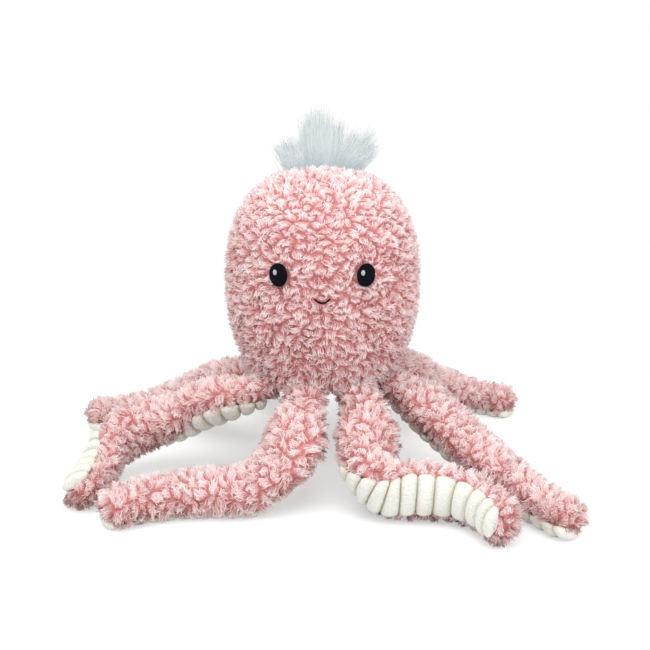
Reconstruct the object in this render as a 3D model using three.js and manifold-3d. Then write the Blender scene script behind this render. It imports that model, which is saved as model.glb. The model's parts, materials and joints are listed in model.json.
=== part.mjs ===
// Plush octopus standing on its eight arms. Millimetres, +Z up, the face looks along -Y.
// The origin is on the floor, under the middle of the whole toy's box.
// A head of two half shells is closed below by a round base panel. Each arm is a pile top and a
// ribbed underside round its own stuffing, and swings on the seam that joins it to the head.

import * as THREE from 'three';
import { mergeVertices } from 'three/addons/utils/BufferGeometryUtils.js';
import Module from 'manifold-3d';

const wasm = await Module();
wasm.setup();

// Driving dimensions of the head
const headRadius = 70.5;
const headRise = 83;
const headDrop = 75;
const headNeckRadius = 53;
const headSkin = 4;
const crownSquareShare = 2.45;
const cheekShare = 2.3;
const baseRim = 4;

// Driving dimensions of the ring of arm seams
const armCount = 8;
const ringRadius = 47;
const ringHeight = 66;
const firstHeading = 165.5;
const socketClearance = 0.98;

// Driving dimensions of an arm
const armLength = 174;
const armRootWidth = 33;
const armWidth = 45;
const armTipWidth = 33;
const armRootThickness = 26;
const armThickness = 33;
const armTipThickness = 27;
const armSkin = 3.5;
const armSeamGap = 0.8;
const ribPitch = 13.4;
const ribDepth = 2.2;
const footFlat = 0.5;

// Driving dimensions of the base panel, the face and the hair
const basePanelRadius = 30.5;
const throatRadius = 28;
const collarRise = 36;
const eyeWidth = 12.4;
const eyeHeight = 15.6;
const eyeSpacing = 58;
const eyeLevel = 153;
const eyeThickness = 1.6;
const eyeProud = 0.6;
const glintWidth = 3.6;
const glintHeight = 4.4;
const glintThickness = 0.4;
const glintAcross = 1.9;
const glintAbove = 2.6;
const mouthWidth = 9.6;
const mouthDepth = 3.4;
const mouthStroke = 1.3;
const mouthLevel = 137.5;
const tuftWidth = 46;
const tuftDepth = 8;
const tuftBand = 3;
const lockLength = 40;
const lockRadius = 5.4;
const lockTipRadius = 1;
const backingThickness = 2.4;

// Fits and overruns
const gap = 0.3;
const overrun = 20;

// Limits of an arm's swing at its seam, in degrees
const armLift = 40;

const up = new THREE.Vector3(0, 0, 1);
const radians = THREE.MathUtils.degToRad;
const equator = ringHeight - baseRim + headDrop;
const baseFloor = equator - headDrop;
const ribCount = Math.round(armLength / ribPitch);

// Steps along an arm's route from one rib to the next, and in all
const stepsPerRib = 6;
const routeSteps = stepsPerRib * ribCount;

// Shares of the arm's length at which it starts to swell, is widest and has drawn in again, and
// the power that it draws in by
const rootShare = 0.04;
const swellShare = 0.24;
const taperShare = 0.93;
const taperPower = 1.4;

// Where along its length an arm's tip starts to rise, how much of an arm's half width its
// underside takes, and how far below its middle its stuffing reaches there
const tipRiseShare = 0.75;
const panelShare = 0.62;
const fillShare = 0.35;

// One row for each arm: turns are [share of length, degrees from its root heading], rolls are
// [share of length, degrees about its run], landShare is where it comes down to the floor, bow is
// how it falls to there, straight at 1 and hollow above, and tipLiftShare is how far its end
// rises, as a share of its thickness.
const armShares = [
  {
    turns: [[0, 0], [0.2, -34], [0.45, -44], [0.7, 20], [1, 62]],
    rolls: [[0, 0], [1, 0]],
    landShare: 0.8,
    bow: 1.15,
    tipLiftShare: 0.12,
  },
  {
    turns: [[0, 0], [0.2, -41], [0.45, -35], [0.76, 44], [1, 56]],
    rolls: [[0, 0], [0.12, 26], [0.3, 26], [0.78, -128], [1, -145]],
    landShare: 0.86,
    bow: 1.1,
    tipLiftShare: 0,
  },
  {
    turns: [[0, 0], [0.22, 5], [0.38, -57], [0.6, -75], [0.8, -60], [1, -38]],
    rolls: [[0, 0], [0.4, -8], [1, -16]],
    landShare: 0.5,
    bow: 1.1,
    tipLiftShare: 0,
  },
  {
    turns: [[0, 0], [0.12, -22], [0.34, -38], [0.5, 58], [0.66, 56], [0.82, 14], [1, -22]],
    rolls: [[0, 0], [0.2, -4], [0.58, -94], [1, -104]],
    landShare: 0.5,
    bow: 1.1,
    tipLiftShare: 0,
  },
  {
    turns: [[0, 0], [0.2, -31], [0.5, -36], [0.8, -42], [1, -46]],
    rolls: [[0, 0], [0.3, -6], [1, -24]],
    landShare: 0.9,
    bow: 1.55,
    tipLiftShare: 0,
  },
  {
    turns: [[0, 0], [0.2, 34], [0.45, 44], [0.66, 0], [0.8, -38], [1, -74]],
    rolls: [[0, 0], [1, 0]],
    landShare: 0.86,
    bow: 1.1,
    tipLiftShare: 0,
  },
  {
    turns: [[0, 0], [0.35, 6], [0.7, -14], [1, -30]],
    rolls: [[0, 0], [1, 6]],
    landShare: 0.82,
    bow: 1.15,
    tipLiftShare: 0,
  },
  {
    turns: [[0, 0], [0.35, -22], [0.7, -16], [1, 4]],
    rolls: [[0, 0], [1, -8]],
    landShare: 0.82,
    bow: 1.15,
    tipLiftShare: 0,
  },
];

// One row for each lock of hair: place across the crown, lean across and lean back in degrees,
// and length, the place and length as shares of the tuft's.
const lockShares = [
  { place: -0.92, lean: -34, back: 4, length: 0.52 },
  { place: -0.74, lean: -24, back: -6, length: 0.56 },
  { place: -0.5, lean: -16, back: 6, length: 0.66 },
  { place: -0.3, lean: -9, back: -4, length: 0.94 },
  { place: -0.1, lean: -3, back: 3, length: 1 },
  { place: 0.12, lean: 4, back: -3, length: 0.96 },
  { place: 0.32, lean: 12, back: 5, length: 0.84 },
  { place: 0.54, lean: 24, back: -5, length: 0.72 },
  { place: 0.74, lean: 34, back: 4, length: 0.74 },
  { place: 0.92, lean: 46, back: -3, length: 0.56 },
];

// Colour, roughness and metalness of each material
const pilePink = { color: 0xdb9c99, roughness: 1, metalness: 0 };
const ribCream = { color: 0xf0eee4, roughness: 0.95, metalness: 0 };
const fillWhite = { color: 0xf4f4f2, roughness: 1, metalness: 0 };
const hairBlue = { color: 0xc6d0d6, roughness: 0.85, metalness: 0 };
const threadBlack = { color: 0x14151d, roughness: 0.6, metalness: 0 };
const threadWhite = { color: 0xf6f6f6, roughness: 0.6, metalness: 0 };

// A closed, merged copy of a geometry, without the flat triangles that poles leave
function closed(geometry) {
  const bare = geometry.clone();
  bare.deleteAttribute('normal');
  bare.deleteAttribute('uv');
  const merged = mergeVertices(bare, gap / 1000);
  const index = merged.getIndex().array;
  const kept = [];
  for (let i = 0; i < index.length; i += 3) {
    const [a, b, c] = [index[i], index[i + 1], index[i + 2]];
    if (a !== b && b !== c && c !== a) kept.push(a, b, c);
  }
  merged.setIndex(kept);
  return merged;
}

// Six times the volume that a closed geometry holds, negative if it is inside out
function signedVolume(geometry) {
  const spots = geometry.getAttribute('position');
  const index = geometry.getIndex().array;
  const [a, b, c] = [new THREE.Vector3(), new THREE.Vector3(), new THREE.Vector3()];
  let volume = 0;
  for (let i = 0; i < index.length; i += 3) {
    a.fromBufferAttribute(spots, index[i]);
    b.fromBufferAttribute(spots, index[i + 1]);
    c.fromBufferAttribute(spots, index[i + 2]);
    volume += a.dot(b.cross(c));
  }
  return volume;
}

// A geometry as a solid that can be cut and joined
function solid(geometry) {
  const merged = closed(geometry);
  const triVerts = new Uint32Array(merged.getIndex().array);
  if (signedVolume(merged) < 0) triVerts.reverse();
  const vertProperties = new Float32Array(merged.getAttribute('position').array);
  return new wasm.Manifold(new wasm.Mesh({ numProp: 3, vertProperties, triVerts }));
}

// A solid back as a geometry
function geometryOf(body) {
  const mesh = body.getMesh();
  const geometry = new THREE.BufferGeometry();
  geometry.setAttribute('position', new THREE.BufferAttribute(mesh.vertProperties, 3));
  geometry.setIndex(new THREE.BufferAttribute(mesh.triVerts, 1));
  geometry.computeVertexNormals();
  return geometry;
}

// A block between two corners
function block(low, high) {
  const size = new THREE.Vector3().subVectors(high, low);
  const geometry = new THREE.BoxGeometry(size.x, size.y, size.z);
  const middle = new THREE.Vector3().addVectors(low, high).multiplyScalar(0.5);
  geometry.translate(middle.x, middle.y, middle.z);
  return solid(geometry);
}

// All of a list of solids joined
function joined(bodies) {
  return bodies.reduce((whole, body) => whole.add(body));
}

// A named piece with its own material
function piece(name, body, look) {
  const mesh = new THREE.Mesh(geometryOf(body), new THREE.MeshStandardMaterial(look));
  mesh.name = name;
  return mesh;
}

// The head's outline, grown or shrunk, as radius and height from the crown to its base's rim
function headOutline(grow, crownRings, cheekRings) {
  const points = [];
  for (let i = 0; i <= crownRings; i += 1) {
    const angle = radians(90 * (1 - i / crownRings));
    const radius = (headRadius + grow) * Math.cos(angle) ** (2 / crownSquareShare);
    const rise = (headRise + grow) * Math.sin(angle) ** (2 / crownSquareShare);
    points.push(new THREE.Vector2(i === 0 ? 0 : radius, equator + rise));
  }
  for (let i = 1; i <= cheekRings; i += 1) {
    const share = i / cheekRings;
    const radius = headRadius + grow - (headRadius - headNeckRadius) * share ** cheekShare;
    points.push(new THREE.Vector2(radius, equator - (headDrop - baseRim + grow) * share));
  }
  return points;
}

// A solid turned about the head's axis from points of radius and height
function turned(points, sides) {
  const geometry = new THREE.LatheGeometry(points, sides);
  geometry.rotateX(radians(90));
  return solid(geometry);
}

// The head's outer surface, grown or shrunk, on the flats that its panels have
function headSurface(grow) {
  const rim = new THREE.Vector2(headNeckRadius + grow - baseRim, baseFloor - grow);
  return turned([...headOutline(grow, 7, 6), rim, new THREE.Vector2(0, rim.y)], 24);
}

// The head's hollow, shrunk by a clearance. Below the cheeks it draws in to a throat, which
// leaves the collar that the arms' sockets are cut in.
function headHollow(clear) {
  const outline = headOutline(-headSkin - clear, 5, 4);
  const collarTop = ringHeight + collarRise;
  const wide = outline.filter((point) => point.y > collarTop + clear);
  const shelf = ringHeight + armRootThickness / 2 + headSkin + clear;
  return turned(
    [
      ...wide,
      new THREE.Vector2(throatRadius - clear, shelf),
      new THREE.Vector2(throatRadius - clear, baseFloor + headSkin + gap),
      new THREE.Vector2(0, baseFloor + headSkin + gap),
    ],
    18,
  );
}

// A value read off rows of [share, value], on straight lines between them
function readOff(rows, share) {
  const at = Math.min(Math.max(share, 0), 1);
  const next = rows.findIndex((row) => row[0] >= at);
  if (next <= 0) return rows[0][1];
  const [fromShare, from] = rows[next - 1];
  const [toShare, to] = rows[next];
  return THREE.MathUtils.lerp(from, to, (at - fromShare) / (toShare - fromShare));
}

// Half the arm's width and half its thickness at a distance along it
function armHalves(along) {
  const share = Math.min(Math.max(along / armLength, 0), 1);
  const blend = (root, swell, tip) => {
    if (share < swellShare) {
      const swollen = THREE.MathUtils.smoothstep(share, rootShare, swellShare);
      return THREE.MathUtils.lerp(root, swell, swollen);
    }
    const on = Math.min((share - swellShare) / (taperShare - swellShare), 1);
    return THREE.MathUtils.lerp(swell, tip, on ** taperPower);
  };
  return {
    width: blend(armRootWidth, armWidth, armTipWidth) / 2,
    thickness: blend(armRootThickness, armThickness, armTipThickness) / 2,
  };
}

// The rings that an arm's surfaces run through, from its root's dome to its tip's. Each has a
// frame, half sizes, and the shares of them that its outside and the inside of its skin keep.
function armRings(row, heading) {
  const step = armLength / routeSteps;
  const height = (along) => {
    const share = along / armLength;
    const roll = radians(readOff(row.rolls, share));
    const halves = armHalves(along);
    const below = Math.hypot(halves.width * Math.sin(roll), halves.thickness * Math.cos(roll));
    const first = armHalves(0).thickness;
    const fall = Math.max(1 - share / row.landShare, 0) ** row.bow;
    const rise = Math.max((share - tipRiseShare) / (1 - tipRiseShare), 0) ** 2;
    const lift = row.tipLiftShare * armThickness * rise;
    return below - footFlat + (ringHeight - first + footFlat) * fall + lift;
  };
  const spots = [];
  const spot = new THREE.Vector3(ringRadius * Math.cos(heading), ringRadius * Math.sin(heading), 0);
  for (let i = 0; i <= routeSteps; i += 1) {
    const along = i * step;
    spot.z = height(along);
    spots.push(spot.clone());
    const turn = heading + radians(readOff(row.turns, (along + step / 2) / armLength));
    const drop = height(along + step) - height(along);
    const run = Math.sqrt(Math.max(step ** 2 - drop ** 2, (step / 4) ** 2));
    spot.x += run * Math.cos(turn);
    spot.y += run * Math.sin(turn);
  }
  const ring = (at, beyond, outer, inner) => {
    const before = spots[Math.max(at - 3, 0)];
    const after = spots[Math.min(at + 3, routeSteps)];
    const run = after.clone().sub(before).normalize();
    if (at === 0) run.copy(spots[1]).sub(spots[0]).normalize();
    const side = new THREE.Vector3().crossVectors(run, up).normalize();
    const top = new THREE.Vector3().crossVectors(side, run);
    const roll = radians(readOff(row.rolls, at / routeSteps));
    side.applyAxisAngle(run, roll);
    top.applyAxisAngle(run, roll);
    const middle = spots[at].clone().addScaledVector(run, beyond);
    return { middle, side, top, outer, inner, ...armHalves(at * step) };
  };
  const dome = (at, degrees, sign) => {
    const round = armHalves(at * step).thickness;
    const beyond = round * Math.cos(radians(degrees));
    const left = Math.max(1 - (beyond / (round - armSkin)) ** 2, 0);
    return ring(at, sign * beyond, Math.sin(radians(degrees)), Math.sqrt(left));
  };
  const even = Array.from({ length: ribCount + 1 }, (_, i) => ring(i * stepsPerRib, 0, 1, 1));
  const tips = [dome(routeSteps, 55, 1), dome(routeSteps, 22, 1)];
  return [dome(0, 40, -1), ...even, ...tips];
}

// A point of an arm's section, at an angle from its right side in degrees. It lies on the arm's
// outside, grown or shrunk, or on the inside of its skin. Order is where it comes going round.
function outside(angle, grow = 0) {
  const [across, over] = [Math.cos(radians(angle)), Math.sin(radians(angle))];
  const place = (ring, inset) => [
    across * (ring.width + grow - inset) * ring.outer,
    over * (ring.thickness + grow - inset) * ring.outer,
  ];
  return { order: angle, place };
}
function inside(angle, clear = 0, drop = 0) {
  const [across, over] = [Math.cos(radians(angle)), Math.sin(radians(angle))];
  const place = (ring) => [
    across * (ring.width - armSkin - clear) * ring.inner,
    over * (ring.thickness - armSkin - clear) * ring.inner - drop,
  ];
  return { order: angle + 1, place };
}

// Points of a section on an arc from one angle to another
function arc(from, to, count, point) {
  return Array.from({ length: count }, (_, i) =>
    point(THREE.MathUtils.lerp(from, to, i / (count - 1))),
  );
}

// The place of a section's point at a ring, or part of the way to the next
function spotAt(rings, at, point, inset) {
  const [low, high] = [Math.floor(at), Math.ceil(at)].map((i) => {
    const ring = rings[i];
    const [across, over] = point.place(ring, inset);
    return ring.middle.clone().addScaledVector(ring.side, across).addScaledVector(ring.top, over);
  });
  return low.lerp(high, at - Math.floor(at));
}

// A closed solid through a section at each of a list of places along an arm's rings. All solids
// split their faces the same way round, so that they stay clear of each other where an arm twists.
function loft(rings, section, places, insetAt = () => 0) {
  const count = section.length;
  const spots = places.flatMap((at) =>
    section.map((point) => spotAt(rings, at, point, insetAt(at))),
  );
  const index = [];
  for (let i = 0; i < (places.length - 1) * count; i += 1) {
    const next = i % count === count - 1 ? i + 1 - count : i + 1;
    const turn = section[next % count].order - section[i % count].order;
    const onward = THREE.MathUtils.euclideanModulo(turn + 180, 360) > 180;
    if (onward) index.push(i, next, next + count, i, next + count, i + count);
    else index.push(i, next, i + count, next, next + count, i + count);
  }
  const end = (places.length - 1) * count;
  const contour = section.map((point) => new THREE.Vector2(...point.place(rings[1], 0)));
  for (const face of THREE.ShapeUtils.triangulateShape(contour, [])) {
    const around = THREE.ShapeUtils.area(face.map((i) => contour[i])) > 0;
    const [a, b, c] = around ? face : [...face].reverse();
    index.push(c, b, a, end + a, end + b, end + c);
  }
  const geometry = new THREE.BufferGeometry().setFromPoints(spots);
  geometry.setIndex(index);
  return solid(geometry);
}

// Places at every ring between two, with others between them where there are more to a ring
function placesAt(from, to, perRing = 1) {
  return Array.from({ length: (to - from) * perRing + 1 }, (_, i) => from + i / perRing);
}

// A solid turned about an arm's seam line
function lifted(body, heading, degrees) {
  const seam = new THREE.Vector3(ringRadius * Math.cos(heading), ringRadius * Math.sin(heading), 0);
  seam.z = ringHeight;
  const axis = new THREE.Vector3(Math.sin(heading), -Math.cos(heading), 0);
  const geometry = geometryOf(body);
  geometry.translate(-seam.x, -seam.y, -seam.z);
  geometry.applyMatrix4(new THREE.Matrix4().makeRotationAxis(axis, radians(degrees)));
  geometry.translate(seam.x, seam.y, seam.z);
  return solid(geometry);
}

// The round socket that an arm's root turns in
function socketForm(heading) {
  const round = armRootThickness / 2 + socketClearance;
  const geometry = new THREE.SphereGeometry(round, 14, 7);
  geometry.scale(1, (armRootWidth / 2 + socketClearance) / round, 1);
  geometry.rotateZ(heading);
  geometry.translate(ringRadius * Math.cos(heading), ringRadius * Math.sin(heading), ringHeight);
  return solid(geometry);
}

// The outline of an arm's pile, of its underside and of both, in that order round the arm
const lip = THREE.MathUtils.radToDeg(Math.acos(panelShare));
const slack = THREE.MathUtils.radToDeg(armSeamGap / (armWidth / 2));
const pileArc = (point, count) => arc(-lip, 180 + lip, count, point);
const undersideArc = (point, count) => arc(180 + lip + slack, 360 - lip - slack, count, point);

// The space that an arm's root needs while it swings
function swingForm(heading, rings) {
  const grown = (angle) => outside(angle, socketClearance);
  const section = [...pileArc(grown, 6), ...undersideArc(grown, 4)];
  const limb = loft(rings, section, placesAt(1, 4));
  return socketForm(heading).add(lifted(limb, heading, armLift));
}

// Three pieces of one arm: pile top, ribbed underside and stuffing
function armPieces(number, rings) {
  const floor = block(
    new THREE.Vector3(-armLength * 2, -armLength * 2, -armLength),
    new THREE.Vector3(armLength * 2, armLength * 2, 0),
  );
  const last = rings.length - 1;
  const pileSection = [...pileArc(outside, 6), ...pileArc(inside, 4).reverse()];
  const dropped = (angle) => inside(angle, 0, armSeamGap);
  const ribSection = [...undersideArc(outside, 4), ...undersideArc(dropped, 2).reverse()];
  const packed = (angle) => inside(angle, 2 * gap);
  const hollowed = { order: 270, place: (ring) => [0, -ring.thickness * ring.inner * fillShare] };
  const fillSection = [...pileArc(packed, 4), hollowed];
  const ribInset = (at) => (at % 1 === 0 ? 0 : ribDepth);
  const pile = loft(rings, pileSection, placesAt(0, last)).subtract(floor);
  const ribs = loft(rings, ribSection, placesAt(0, last, 2), ribInset).subtract(floor);
  const fill = loft(rings, fillSection, placesAt(1, last - 1));
  return [
    piece(`arm_${number}_pile`, pile, pilePink),
    piece(`arm_${number}_underside`, ribs, ribCream),
    piece(`arm_${number}_stuffing`, fill, fillWhite),
  ];
}

// An upright oval column in front of the face, centred on x and z
function faceColumn(x, z, width, height) {
  const shape = new THREE.Shape();
  shape.absellipse(x, z, width / 2, height / 2, 0, radians(360));
  return faceExtrusion(shape, 8);
}

// A shape drawn on x and z, run from the middle of the head out past its front
function faceExtrusion(shape, curveSegments) {
  const depth = headRadius + overrun;
  const geometry = new THREE.ExtrudeGeometry(shape, { depth, curveSegments, bevelEnabled: false });
  geometry.rotateX(radians(90));
  return solid(geometry);
}

// The smile's outline on x and z: a bow of even stroke, wider by a clearance
function mouthShape(widen) {
  const radius = (mouthWidth ** 2 / 4 + mouthDepth ** 2) / (2 * mouthDepth);
  const half = Math.asin(mouthWidth / 2 / radius);
  const stroke = mouthStroke / 2 + widen;
  const reach = half + widen / radius;
  const middle = mouthLevel + radius - mouthDepth / 2;
  const shape = new THREE.Shape();
  const down = -Math.PI / 2;
  shape.absarc(0, middle, radius + stroke, down - reach, down + reach, false);
  shape.absarc(0, middle, radius - stroke, down + reach, down - reach, true);
  return shape;
}

// The layer of the head between two depths from its surface
function layer(inside, outside) {
  return headSurface(outside).subtract(headSurface(inside));
}

// Eyes, their glints and the mouth, with the pockets that the front panel needs for them
function face() {
  const pieces = [];
  const pockets = [];
  const eyeLayer = layer(eyeProud - eyeThickness, eyeProud);
  const glintLayer = layer(eyeProud + gap, eyeProud + gap + glintThickness);
  const pocketLayer = layer(eyeProud - eyeThickness - gap, overrun);
  for (const [side, sign] of [['left', -1], ['right', 1]]) {
    const x = (sign * eyeSpacing) / 2;
    const eye = faceColumn(x, eyeLevel, eyeWidth, eyeHeight);
    const glint = faceColumn(x - glintAcross, eyeLevel + glintAbove, glintWidth, glintHeight);
    pieces.push(piece(`eye_${side}`, eye.intersect(eyeLayer), threadBlack));
    pieces.push(piece(`eye_glint_${side}`, glint.intersect(glintLayer), threadWhite));
    pockets.push(faceColumn(x, eyeLevel, eyeWidth + 2 * gap, eyeHeight + 2 * gap));
  }
  const smile = faceExtrusion(mouthShape(0), 5).intersect(eyeLayer);
  pieces.push(piece('mouth_stitch', smile, threadBlack));
  pockets.push(faceExtrusion(mouthShape(gap), 5));
  return { pieces, pockets: joined(pockets).intersect(pocketLayer) };
}

// One tapering lock of hair that leans and curls away from the crown
function lock(row) {
  const length = lockLength * row.length;
  const foot = tuftBand;
  const geometry = new THREE.CylinderGeometry(lockTipRadius, lockRadius, length + foot, 5, 3);
  geometry.rotateX(radians(90));
  geometry.translate(0, 0, (length - foot) / 2);
  const spots = geometry.getAttribute('position');
  for (let i = 0; i < spots.count; i += 1) {
    const share = Math.max(spots.getZ(i) / length, 0);
    const curl = length * share ** 2;
    spots.setX(i, spots.getX(i) + curl * Math.tan(radians(row.lean / 3)));
    spots.setY(i, spots.getY(i) * (tuftDepth / 2 / lockRadius) + curl * Math.tan(radians(row.back)));
  }
  geometry.rotateY(radians(row.lean * (2 / 3)));
  const x = (row.place * (tuftWidth - lockRadius * 2)) / 2;
  geometry.translate(x, 0, crownHeight(x) + tuftBand);
  return solid(geometry);
}

// Height of the head's surface on its middle line at a distance from the axis
function crownHeight(x) {
  const share = 1 - (Math.abs(x) / headRadius) ** crownSquareShare;
  return equator + headRise * share ** (1 / crownSquareShare);
}

// The hair, its backing strip in the crown seam, and the slot that the strip needs
function hair() {
  const strip = (width, depth, low) =>
    block(
      new THREE.Vector3(-width / 2, -depth / 2, low),
      new THREE.Vector3(width / 2, depth / 2, equator + headRise + lockLength * 2),
    );
  const backing = strip(tuftWidth, backingThickness, equator)
    .intersect(headSurface(0))
    .subtract(headSurface(gap - headSkin));
  const slot = strip(tuftWidth + 2 * gap, backingThickness + 2 * gap, equator);
  const band = strip(tuftWidth, tuftDepth, equator).intersect(headSurface(tuftBand + gap));
  const locks = joined(lockShares.map((row) => lock(row)));
  const tuft = band.add(locks).subtract(headSurface(gap));
  return {
    pieces: [piece('tuft_backing', backing, hairBlue), piece('hair_tuft', tuft, hairBlue)],
    slot,
  };
}

// The head: two half shells, the base panel that closes them, and the stuffing
function headPieces(headings, arms, pockets, slot) {
  const swings = joined(headings.map((heading, i) => swingForm(heading, arms[i])));
  const far = headRadius + overrun;
  const half = (sign) =>
    block(
      new THREE.Vector3(-far, sign < 0 ? -far : gap / 2, -overrun),
      new THREE.Vector3(far, sign < 0 ? -gap / 2 : far, equator + headRise + overrun),
    );
  const disc = (radius, low, high) => {
    const geometry = new THREE.CylinderGeometry(radius, radius, high - low, 24);
    geometry.rotateX(radians(90));
    geometry.translate(0, 0, (low + high) / 2);
    return solid(geometry);
  };
  const mouth = disc(basePanelRadius + gap, baseFloor - overrun, baseFloor + headSkin + gap);
  const shell = headSurface(0)
    .subtract(headHollow(0))
    .subtract(mouth)
    .subtract(swings)
    .subtract(pockets)
    .subtract(slot);
  return [
    piece('head_front_panel', shell.intersect(half(-1)), pilePink),
    piece('head_back_panel', shell.intersect(half(1)), pilePink),
    piece('base_panel', disc(basePanelRadius, baseFloor, baseFloor + headSkin), ribCream),
    piece('head_stuffing', headHollow(gap), fillWhite),
  ];
}

const octopus = new THREE.Group();
const headings = Array.from({ length: armCount }, (_, i) =>
  radians(firstHeading + i * (360 / armCount)),
);
const arms = headings.map((heading, i) => armRings(armShares[i], heading));
const { pieces: facePieces, pockets } = face();
const { pieces: hairPieces, slot } = hair();
octopus.add(...headPieces(headings, arms, pockets, slot), ...facePieces, ...hairPieces);
arms.forEach((rings, i) => octopus.add(...armPieces(i + 1, rings)));

// The origin goes under the middle of the whole toy
const middle = new THREE.Box3().setFromObject(octopus).getCenter(new THREE.Vector3());
octopus.position.set(-middle.x, -middle.y, 0);

export default octopus;
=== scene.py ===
"""Looks of the plush octopus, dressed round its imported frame.

Metres, +Z up, the face looks along -Y. The head, the face, the hair and each arm are classes that
hold their own sizes, build their meshes and dress them. The pile is real: fine tapered strands
that stand on lumpy skins and lean together in soft curls.
"""

import json
import logging
import math
from dataclasses import dataclass, field
from enum import Enum
from functools import cache
from typing import Callable

import bmesh
import bpy
import numpy as np
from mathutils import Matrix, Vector, noise
from mathutils.kdtree import KDTree


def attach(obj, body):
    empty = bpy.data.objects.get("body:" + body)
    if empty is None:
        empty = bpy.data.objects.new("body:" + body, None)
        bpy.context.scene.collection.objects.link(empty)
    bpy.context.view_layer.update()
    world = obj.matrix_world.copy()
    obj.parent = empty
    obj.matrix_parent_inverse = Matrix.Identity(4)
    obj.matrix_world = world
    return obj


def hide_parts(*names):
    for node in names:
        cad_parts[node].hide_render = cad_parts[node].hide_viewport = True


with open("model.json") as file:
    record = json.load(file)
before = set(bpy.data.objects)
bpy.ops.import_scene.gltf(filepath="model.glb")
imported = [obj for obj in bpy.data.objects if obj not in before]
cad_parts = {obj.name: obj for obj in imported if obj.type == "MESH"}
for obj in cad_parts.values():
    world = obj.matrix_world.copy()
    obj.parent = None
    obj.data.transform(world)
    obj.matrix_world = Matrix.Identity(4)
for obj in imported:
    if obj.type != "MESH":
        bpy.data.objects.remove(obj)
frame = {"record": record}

LOG = logging.getLogger("octopus")
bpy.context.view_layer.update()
GOLDEN = (math.sqrt(5.0) - 1.0) / 2.0
NOISE_SEED = 7
HEAD_SEED = 11
HAIR_SEED = 23
ARM_SEED = 100
FULL_TURN = 2.0 * math.pi
FLOOR_CLEARANCE = 0.0003
WHITE = (1.0, 1.0, 1.0, 1.0)

# How much a strand's sides turn its shading against those of the whole pile, and how much they
# shift
# its colour: a painted shade that deepens the sides facing into the pile and pales those facing out
SIDE_SHADE = 0.9
SIDE_PAINTED_SHADE = 0.25

# Painted light from above: how much paler the pile is coloured where it faces up
PAINTED_TOP_LIGHT = 0.30

# How much of a strand's tone is that of its whole curl or lock
SHARED_TONE = 0.4

Colour = tuple[float, float, float]
Rows = tuple[tuple[float, float], ...]
Stops = tuple[tuple[float, Colour], ...]
Array = np.ndarray
Placed = tuple[Array, Array]
Rng = np.random.Generator
Object = bpy.types.Object
Socket = bpy.types.NodeSocket


class Attribute(Enum):
    """Values that a piece's points carry for its finish."""

    # How high in the pile or on its lump a point lies; the finishes colour low points deeper, as
    # painted shade
    RISE = "rise"
    # How light a strand is at random, with painted light from above added on the pile
    TONE = "tone"


class Side(Enum):
    """Left and right in the photograph, as the sign of x."""

    LEFT = -1
    RIGHT = 1


def unit(vectors: Array) -> Array:
    """Vectors along the last axis, each made one long."""
    lengths = np.linalg.norm(vectors, axis=-1, keepdims=True)
    return vectors / np.maximum(lengths, 1e-12)


def column(values: Array) -> Array:
    """A row of numbers as a column, to scale vectors by."""
    return np.asarray(values)[..., None]


def clamp(values: Array) -> Array:
    """Values kept between 0 and 1."""
    return np.clip(values, 0.0, 1.0)


def smooth_step(values: Array, start: float, end: float) -> Array:
    """0 before start, 1 after end, and smooth between them."""
    share = clamp((values - start) / (end - start))
    return share * share * (3.0 - 2.0 * share)


def read_off(rows: Rows, shares: Array) -> Array:
    """Values read off rows of (share, value), on straight lines between them."""
    table = np.array(rows)
    return np.interp(shares, table[:, 0], table[:, 1])


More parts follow.
